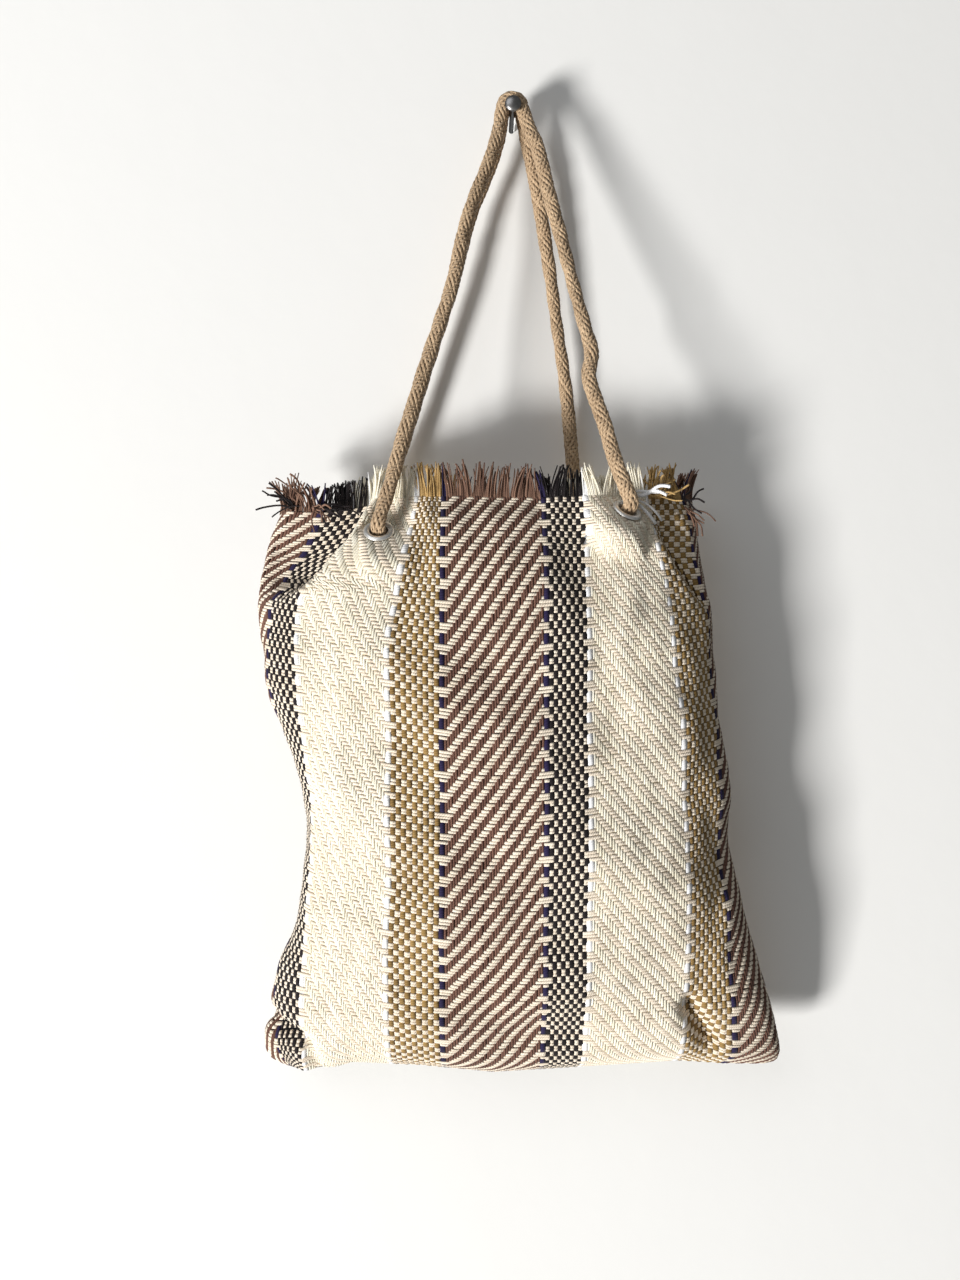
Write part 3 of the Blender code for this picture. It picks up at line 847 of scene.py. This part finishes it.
# Creases in the front: start and end as (x, height), depth, width
CREASES = (
    ((-0.166, -0.6000), (-0.132, -0.6200), 0.0085, 0.0065),
    ((-0.132, -0.6200), (-0.128, -0.6420), 0.0040, 0.0060),
    ((0.1080, -0.5850), (0.1290, -0.6230), 0.0090, 0.0075),
    ((-0.150, -0.5300), (-0.120, -0.3700), 0.0030, 0.0140),
    ((0.0400, -0.3000), (0.0600, -0.4200), 0.0028, 0.0130),
    ((0.1200, -0.3600), (0.1280, -0.5200), 0.0030, 0.0120),
)


def shape_panel(grid, seed, creases):
    """Adds slack folds and unevenness to a panel without moving it at the eyelets."""
    normal, _, _ = grid_normals(grid)
    s = (ACROSS + HALF_WIDTH)[None, :]
    t = (grid[:, :, 2] - BOTTOM_Z).mean(axis=1)[:, None]
    bump = wave_noise(s, t, seed, 0.085, 0.0016) + wave_noise(s, t, seed + 1, 0.032, 0.0005)
    keep = np.ones(grid.shape[:2])
    for centre, _ in EYELETS.values():
        distance = np.linalg.norm(grid - centre, axis=2)
        keep = keep * smoothstep(0.014, 0.034, distance)
    edge = smoothstep(0.0, 0.05, t) * smoothstep(0, 0.02, s) * smoothstep(0, 0.02, 2 * HALF_WIDTH - s)
    push = bump * edge
    for start, end, depth, width in creases:
        length = math.dist(start, end)
        run = (np.array(end) - start) / length
        offset = grid[:, :, [0, 2]] - start
        across = offset @ np.array([-run[1], run[0]])
        along = (offset @ run) / length
        ends = smoothstep(-0.2, 0.15, along) * (1 - smoothstep(0.85, 1.2, along))
        push = push - depth * np.exp(-((across / width) ** 2)) * ends
    return grid + normal * (push * keep)[:, :, None]


# ---- weaving


def warp_over(yarn, i, k):
    """1 where the stripe's end k passes over pick i on the outside of the cloth, -1 where it passes under."""
    if yarn in ("black", "gold"):
        return np.where((i // 2 + k) % 2 == 0, 1.0, -1.0)
    if yarn == "cream":
        return np.where((i + k) % 6 < 3, 1.0, -1.0)
    return np.where((i - k) % 6 < 3, 1.0, -1.0)


def in_hole(points, margin):
    """True where points lie within an eyelet's hole in the cloth."""
    hit = np.zeros(points.shape[:-1], dtype=bool)
    for centre, direction in EYELETS.values():
        offset = points - centre
        height = offset @ direction
        radial = np.linalg.norm(offset - height[..., None] * direction, axis=-1)
        hit |= (radial < margin) & (np.abs(height) < HOLE_REACH)
    return hit


def runs(mask):
    """Start and stop of each unbroken run of True."""
    padded = np.concatenate([[False], mask, [False]])
    edges = np.flatnonzero(padded[1:] != padded[:-1])
    return [(a, b) for a, b in zip(edges[::2], edges[1::2]) if b - a > 2]


def shiver(count, step, amount):
    """Small sideways wandering of a yarn."""
    knots = np.arange(0, count + step, step)
    return np.interp(np.arange(count), knots, RNG.normal(0, amount, len(knots)))


def add_yarn(tubes, grid_line, line, across, outward, half_wide, half_high, tint):
    """Adds a yarn to the tubes, cut where it would cross an eyelet's hole."""
    for a, z in runs(~in_hole(grid_line, HOLE_IN_CLOTH)):
        tubes.add(line[a:z], across[a:z], outward[a:z], half_wide[a:z], half_high, tint=tint)


def weave_panel(prefix, grid):
    """Weaves warp ends and weft picks over a panel's middle surface, one piece for each yarn."""
    rows, columns, _ = grid.shape
    normal, across, upward = grid_normals(grid)
    picks = np.arange(rows - 2)
    weft_lift = np.zeros((rows, columns))
    stretch = np.linalg.norm(np.gradient(grid, axis=1), axis=2) / np.gradient(ACROSS)
    pieces = {}
    for yarn, centre, pitch, k, first, last in ENDS:
        column = centre + 1
        over = warp_over(yarn, picks, k)
        lift = np.concatenate([over[:1], over, over[-1:]])
        weft_lift[1:-1, first + 1 : last + 1] = -over[:, None]
        tubes = pieces.setdefault(yarn, Tubes(YARN_SIDES))
        n = normal[:, column]
        b = across[:, column]
        line = grid[:, column] + n * (CRIMP * lift)[:, None] + b * shiver(rows, 9, 0.00016)[:, None]
        wide = pitch * np.clip(stretch[:, column], 0.5, 1.3) * FATNESS[yarn]
        wide = wide * (1 + 0.05 * lift) * RNG.uniform(0.92, 1.06)
        tint = 0.5 + RNG.uniform(-0.14, 0.14)
        add_yarn(tubes, grid[:, column], line, b, n, wide, WARP_HALF, tint)
    weft_lift[:, 0] = weft_lift[:, 1]
    weft_lift[:, -1] = weft_lift[:, -2]
    for p in picks:
        row = p + 1
        n = normal[row]
        b = upward[row]
        partner = row + 1 if p % 2 == 0 else row - 1
        gap = np.linalg.norm(grid[partner] - grid[row], axis=1)
        line = grid[row] + n * (CRIMP * weft_lift[row])[:, None] + b * shiver(columns, 11, 0.00013)[:, None]
        wide = gap * PICK_FATNESS * (1 + 0.05 * weft_lift[row]) * RNG.uniform(0.94, 1.06)
        tint = 0.5 + RNG.uniform(-0.12, 0.12)
        tubes = pieces.setdefault("weft_%d" % (p * WEFT_PARTS // len(picks) + 1), Tubes(YARN_SIDES))
        add_yarn(tubes, grid[row], line, b, n, wide, WEFT_HALF, tint)
    made = []
    for key, tubes in pieces.items():
        is_weft = key.startswith("weft")
        obj = tubes.build(prefix + "_" + (key if is_weft else key + "_warp"))
        made.append(on_bag(obj, YARN["weft" if is_weft else key]))
    return made


def core_material():
    """Inside of the cloth between the yarns: the stripe's own colour, darkened as painted shade in the gaps
    between the yarns, broken up by a fine grain.
    """
    mat, tree, shader = new_material("cloth_core_painted_gap_shade", 0.95)
    tone = tree.nodes.new("ShaderNodeAttribute")
    tone.attribute_name = "stripe"
    mix = tree.nodes.new("ShaderNodeMix")
    mix.data_type = "RGBA"
    mix.blend_type = "MULTIPLY"
    mix.inputs["Factor"].default_value = 0.4
    tree.links.new(tone.outputs["Color"], mix.inputs["A"])
    tree.links.new(noise(tree, 700.0, 3.0, output="Color"), mix.inputs["B"])
    tree.links.new(mix.outputs["Result"], shader.inputs["Base Color"])
    return mat


def make_core(name, grid, mat):
    """Thin sheet in the middle of the cloth that the yarns lie on."""
    columns = [0, *(end[1] + 1 for end in ENDS), len(ACROSS) - 1]
    # Painted shade: the sheet takes each stripe's dark yarn tone, darkened further outside the cream and
    # white stripes, as the shade in the gaps between the yarns
    depth = {yarn: 1.0 if yarn in ("cream", "white") else 0.75 for yarn in FATNESS}
    tones = [np.array(YARN_TONES[yarn][0]) * depth[yarn] for yarn, *_ in ENDS]
    tones = [tones[0], *tones, tones[-1]]
    sub = grid[np.r_[0 : len(grid) - 1 : 2, len(grid) - 1]][:, columns]
    normal, _, _ = grid_normals(sub)
    r, c, _ = sub.shape
    hole = in_hole(sub, HOLE_IN_CORE)
    bm = bmesh.new()
    layers = []
    for side in (CORE_HALF, -CORE_HALF):
        layers.append([[bm.verts.new(sub[i, j] + normal[i, j] * side) for j in range(c)] for i in range(r)])
    solid = ~(hole[:-1, :-1] | hole[:-1, 1:] | hole[1:, 1:] | hole[1:, :-1])
    padded = np.pad(solid, 1)
    outer, inner = layers
    for i in range(r - 1):
        for j in range(c - 1):
            if not solid[i, j]:
                continue
            bm.faces.new((outer[i][j], outer[i][j + 1], outer[i + 1][j + 1], outer[i + 1][j]))
            bm.faces.new((inner[i][j], inner[i + 1][j], inner[i + 1][j + 1], inner[i][j + 1]))
            rim = (
                (padded[i, j + 1], (i, j), (i, j + 1)),
                (padded[i + 2, j + 1], (i + 1, j + 1), (i + 1, j)),
                (padded[i + 1, j], (i + 1, j), (i, j)),
                (padded[i + 1, j + 2], (i, j + 1), (i + 1, j + 1)),
            )
            for covered, (a, b), (d, e) in rim:
                if not covered:
                    bm.faces.new((outer[d][e], outer[a][b], inner[a][b], inner[d][e]))
    colours = {vert: tone for layer in layers for row in layer for vert, tone in zip(row, tones)}
    for vert in [v for v in bm.verts if not v.link_faces]:
        bm.verts.remove(vert)
    bm.verts.index_update()
    data = np.ones((len(bm.verts), 4))
    for vert in bm.verts:
        data[vert.index, :3] = colours[vert]
    mesh = bpy.data.meshes.new(name)
    bm.to_mesh(mesh)
    bm.free()
    stripe = mesh.attributes.new("stripe", "FLOAT_COLOR", "POINT")
    stripe.data.foreach_set("color", data.ravel())
    return on_bag(link_mesh(name, mesh), mat)


def locks(total):
    """Splits the mouth's width into locks that the loose yarns gather into: (start, stop, lean, height)."""
    made = []
    place = 0.0
    while place < total:
        width = RNG.uniform(*LOCK_WIDTH)
        made.append((place, place + width, RNG.normal(0, 0.16), RNG.uniform(0.90, 1.04)))
        place += width
    return made


def make_fringe(name, grid, outward):
    """Loose warp ends above the raw edge: each end comes apart into strands that gather into locks."""
    normal, across, upward = grid_normals(grid)
    groups = locks(2 * HALF_WIDTH)
    pieces = {}
    t = np.linspace(0, 1, 8)
    for yarn, centre, pitch, *_ in ENDS:
        column = centre + 1
        n = normal[-1, column]
        b = across[-1, column]
        rise = unit(upward[-1, column] * 0.3 + np.array([0.0, 0.0, 1.0]) * 0.7)
        strands = max(2, round(pitch / STRAND_PITCH))
        tubes = pieces.setdefault(yarn, Tubes(5))
        for m in range(strands):
            offset = ((m + 0.5) / strands - 0.5) * pitch
            s = ACROSS[column] + offset + HALF_WIDTH
            start, stop, lean, height = next(g for g in groups if g[0] <= s < g[1])
            root = grid[-2, column] + b * offset + n * RNG.normal(0, 0.00030)
            length = FRINGE_LENGTH * height * RNG.uniform(0.90, 1.03)
            pull = (start + stop) / 2 - s
            corner = smoothstep(0.055, 0.010, s) if name.startswith("front") else 0.0
            lean = lean - 0.30 * corner + RNG.normal(0, 0.05 + 0.22 * corner)
            gather = b * (0.45 * pull / length + lean)
            out = n * (outward + RNG.normal(0, 0.07 + 0.15 * corner))
            bend = b * RNG.normal(0, 0.07) + n * RNG.normal(0, 0.08)
            course = t[:, None] * rise + (t**1.6)[:, None] * (gather + out) + (t**3)[:, None] * bend
            line = root + length * course
            along, side, up = tube_frames(line)
            spin = RNG.uniform(0, math.pi)
            flat = side * math.cos(spin) + up * math.sin(spin)
            tall = np.cross(flat, along)
            thick = STRAND_THICK * RNG.uniform(0.8, 1.2) * np.where(t > 0.95, 0.8, 1.0)
            tubes.add(line, flat, tall, thick, thick * 0.62, tint=0.5 + RNG.uniform(-0.25, 0.25))
    return loose_pieces(name, pieces)


def loose_pieces(name, pieces):
    """One piece for each yarn's loose ends."""
    built = {yarn: tubes.build(name + "_" + yarn) for yarn, tubes in pieces.items()}
    return [on_bag(obj, LOOSE_WITH_PAINTED_LIGHT[yarn]) for yarn, obj in built.items()]


# Stray yarn ends at the mouth's corners: yarn, place at the mouth, direction, length, how many, spread
STRAYS = (
    ("black", (-0.1400, -0.0310, -0.2730), (-0.75, -0.25, 0.45), 0.021, 7, 0.32),
    ("brown", (-0.1360, -0.0320, -0.2720), (-0.35, -0.30, 0.85), 0.023, 5, 0.26),
    ("brown", (-0.1290, -0.0320, -0.2740), (0.55, -0.45, -0.10), 0.019, 6, 0.22),
    ("black", (-0.1250, -0.0320, -0.2730), (0.75, -0.40, 0.10), 0.021, 6, 0.24),
    ("white", (0.0760, -0.0500, -0.2690), (0.90, -0.20, 0.36), 0.022, 3, 0.05),
    ("white", (0.0750, -0.0510, -0.2730), (0.88, -0.10, -0.34), 0.019, 2, 0.06),
    ("gold", (0.0900, -0.0420, -0.2680), (0.35, -0.30, 0.75), 0.017, 12, 0.40),
    ("brown", (0.1120, -0.0330, -0.2740), (0.40, -0.25, -0.45), 0.016, 6, 0.22),
    ("black", (0.1110, -0.0330, -0.2700), (0.70, -0.20, 0.00), 0.014, 4, 0.22),
)


def make_strays():
    """Longer loose ends that hang over the corners of the mouth."""
    rng = np.random.default_rng(41)
    pieces = {}
    for yarn, place, direction, length, count, spread in STRAYS:
        tubes = pieces.setdefault(yarn, Tubes(5))
        for _ in range(count):
            way = unit(np.array(direction) + rng.normal(0, spread, 3) * (1, 0.6, 1))
            size = length * rng.uniform(0.75, 1.1)
            t = np.linspace(0, 1, 12)[:, None]
            curl = unit(np.cross(way, rng.normal(0, 1, 3)))
            root = np.array(place) + rng.normal(0, 0.0022, 3) * (1, 0.3, 0.6)
            line = root + size * (t * way + t**2 * 0.30 * curl + np.sin(t * 7) * 0.05 * np.cross(way, curl))
            line = line + np.array([0, 0, -0.16 * size]) * t**3
            _, side, up = tube_frames(line)
            thick = (STRAY_CORD_THICK if yarn == "white" else STRAY_THICK) * rng.uniform(0.8, 1.25)
            tubes.add(line, side, up, thick, thick * 0.7, tint=0.5 + rng.uniform(-0.2, 0.2))
    return loose_pieces("front_stray", pieces)


# ---- metal and knots


TURNED_SEGMENTS = 72
TURNED_SHARP = math.radians(50)
# Washer's section as (radius, height): a flat ring with a rounded rim
WASHER_PROFILE = (
    (0.0071, -0.0021), (0.0071, -0.0017), (0.0086, -0.0016), (0.0091, -0.0018), (0.0092, -0.0021),
    (0.0088, -0.0026), (0.0075, -0.0026),
)
NAIL_HEAD = (0.0004, -0.0104, -0.0021)
NAIL_END = -0.0344


def turned(name, profile, centre, direction, segments, mat):
    """Closed ring turned from a closed (radius, height) profile."""
    profile = np.array(profile)
    turn = 2 * math.pi * np.arange(segments) / segments
    axis = unit(direction)
    side = unit(np.cross(axis, [0.3, 0.9, 0.1]))
    other = np.cross(axis, side)
    ring = np.cos(turn)[:, None] * side + np.sin(turn)[:, None] * other
    points = centre + profile[:, 0][None, :, None] * ring[:, None, :] + profile[:, 1][None, :, None] * axis
    count = len(profile)
    bm = bmesh.new()
    verts = [[bm.verts.new(p) for p in around] for around in points]
    for a in range(segments):
        b = (a + 1) % segments
        for p in range(count):
            q = (p + 1) % count
            bm.faces.new((verts[a][p], verts[b][p], verts[b][q], verts[a][q]))
    bmesh.ops.recalc_face_normals(bm, faces=bm.faces)
    mesh = bpy.data.meshes.new(name)
    bm.to_mesh(mesh)
    bm.free()
    mesh.shade_smooth()
    mesh.set_sharp_from_angle(angle=TURNED_SHARP)
    return link_mesh(name, mesh, mat)


def arc(centre_r, centre_h, radius_r, radius_h, start, stop, count):
    """Profile points on part of an ellipse, from one angle in degrees to another."""
    turn = np.radians(np.linspace(start, stop, count))
    return [(centre_r + radius_r * math.cos(a), centre_h + radius_h * math.sin(a)) for a in turn]


def make_metal(place):
    """Eyelet with a domed flange and a barrel rolled over at its inner end, and the washer under the roll."""
    centre, direction = EYELETS[place]
    crown = arc(0.0077, 0.00165, 0.0019, 0.00145, 0, 180, 15)
    barrel = [(0.0058, 0.0008), (0.0058, -0.0028)]
    roll = arc(0.00695, -0.0032, 0.00115, 0.00065, 180, 360, 9)
    neck = [(0.0066, -0.0028), (0.0066, 0.0013)]
    for part, profile in (("_eyelet", crown + barrel + roll + neck), ("_washer", WASHER_PROFILE)):
        ring = turned(place + part + "_turned", profile, centre, direction, TURNED_SEGMENTS, NICKEL)
        on_bag(ring, NICKEL, place + part)


def make_nail():
    """Domed nail that the handles hang on; part of the backdrop."""
    steel, tree, shader = new_material("nail_steel", 0.35, metallic=1.0)
    tone = ramp(tree, noise(tree, 420.0, 4.0), (0.16, 0.16, 0.17), (0.48, 0.47, 0.46))
    tree.links.new(tone, shader.inputs["Base Color"])
    dome = arc(0.0, 0.0003, 0.0055, 0.0026, 0, 88, 10)
    profile = [*dome, (0.0001, NAIL_END), (0.0019, NAIL_END), (0.0019, -0.0004), (0.0050, -0.0004)]
    turned("nail", profile, np.array(NAIL_HEAD), (0, -1, 0), 48, steel)


# Knot: its lead and middle behind the cloth, its foot and tail behind the middle, and the tail's lean
KNOT_LEAD = 0.0055
KNOT_DEPTH = 0.0128
KNOT_FOOT = 0.0085
TAIL_REACH = 0.014
TAIL_ASIDE = 0.004
KNOT_SIZE = 0.0029
KNOT_WIDE = 0.0034
KNOT_THIN = 0.0030


def make_knot(place):
    """Overhand knot that stops a cord behind its eyelet, with a short tail."""
    centre, direction = EYELETS[place]
    axis = -unit(direction)
    side = unit(np.cross(axis, [0.0, 0.0, 1.0]))
    other = np.cross(axis, side)
    t = np.linspace(0, 2 * math.pi * 0.93, 60)
    knot = [np.sin(t) + 1.7 * np.sin(2 * t), np.cos(t) - 1.7 * np.cos(2 * t), -1.2 * np.sin(3 * t)]
    knot = np.stack(knot, axis=1)
    middle = centre + axis * KNOT_DEPTH
    loop = middle + KNOT_SIZE * (knot[:, :1] * side + knot[:, 1:2] * other + knot[:, 2:] * axis)
    lead = centre + axis * KNOT_LEAD
    tail = middle + axis * TAIL_REACH + side * TAIL_ASIDE
    line = spline([lead, *loop[4:-3:5], middle + axis * KNOT_FOOT, tail], 6)
    obj, _ = braid(place + "_overhand_knot", line, KNOT_WIDE, KNOT_THIN)
    on_bag(obj, CORD_MATERIAL, place + "_knot")


SEAM_HALF_DEPTH = 0.0038
SEAM_HALF_THICK = 0.0006
SEAM_CENTRE = 0.0045
SEAM_LAYER = 0.0007
SEAM_POINTS = 40
SIDE_SEAM_SPAN = (-0.598, -0.275)
SIDE_INSET = 0.003
BOTTOM_SEAM_SPAN = (-0.118, 0.128)
BOTTOM_SEAM_Z = -0.628
STITCH_STEP = 0.0016
STITCH_THICK = 0.00022
STITCH_INSET = 0.0035
STITCH_LIFT = 0.0013
STITCH_ARCH = 0.0004


def make_seam(name, points, inward, mat):
    """Two folded cloth edges inside a seam, with a running stitch."""
    line = np.array(points)
    along, _, _ = tube_frames(line)
    inward = unit(inward)
    thick = np.cross(along, inward)
    flat = np.broadcast_to(inward, line.shape)
    tubes = Tubes(8)
    for offset in (-SEAM_LAYER, SEAM_LAYER):
        layer = line + inward * SEAM_CENTRE + thick * offset
        tubes.add(layer, flat, thick, SEAM_HALF_DEPTH, SEAM_HALF_THICK, tint=0.45)
    on_bag(tubes.build(name + "_allowance"), mat, name)
    stitches = Tubes(5)
    dense = evenly(line, STITCH_STEP)
    along, _, _ = tube_frames(dense)
    thick = np.cross(along, inward)
    t = np.linspace(0, 1, 5)[:, None]
    arch = STITCH_LIFT + STITCH_ARCH * np.sin(math.pi * t)
    for k in range(0, len(dense) - 2, 2):
        stitch = dense[k] + (dense[k + 1] - dense[k]) * t * 1.5 + inward * STITCH_INSET + thick[k] * arch
        _, side, up = tube_frames(stitch)
        stitches.add(stitch, side, up, STITCH_THICK, STITCH_THICK)
    on_bag(stitches.build(name + "_stitches"), THREAD)


# ---- assembly

make_camera()
make_handle("front_handle_braid", FRONT_ROUTE, "front_left", "front_right")
make_handle("back_handle_braid", BACK_ROUTE, "back_left", "back_right")
make_lights()
make_stage()
make_nail()

FRONT, BACK = build_grid()
FRONT = shape_panel(FRONT, 11, CREASES)
BACK = shape_panel(BACK, 23, ())
CORE = core_material()
for label, panel, lean_out in (("front", FRONT, 0.02), ("back", BACK, -0.10)):
    core = make_core(label + "_cloth", panel, CORE)
    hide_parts(label + "_panel")
    yarns = weave_panel(label, panel)
    fringe = make_fringe(label + "_fringe", panel, lean_out)
    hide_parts(label + "_fringe")
    if label == "front":
        fringe.extend(make_strays())

for eyelet in EYELETS:
    make_metal(eyelet)
    make_knot(eyelet)

for seam, side_curve, inside in (("left_side_seam", LEFT_SIDE, 1), ("right_side_seam", RIGHT_SIDE, -1)):
    heights = np.linspace(*SIDE_SEAM_SPAN, SEAM_POINTS)
    edge = [(curve_at(side_curve, z) + SIDE_INSET * inside, curve_at(SIDE_SEAM_Y, z), z) for z in heights]
    make_seam(seam, edge, (inside, 0, 0), YARN["brown"])
BOTTOM_SEAM_Y = curve_at(SIDE_SEAM_Y, -0.626)
BOTTOM_LINE = [(x, BOTTOM_SEAM_Y, BOTTOM_SEAM_Z) for x in np.linspace(*BOTTOM_SEAM_SPAN, SEAM_POINTS)]
make_seam("bottom_seam", BOTTOM_LINE, (0, 0, 1), YARN["cream"])
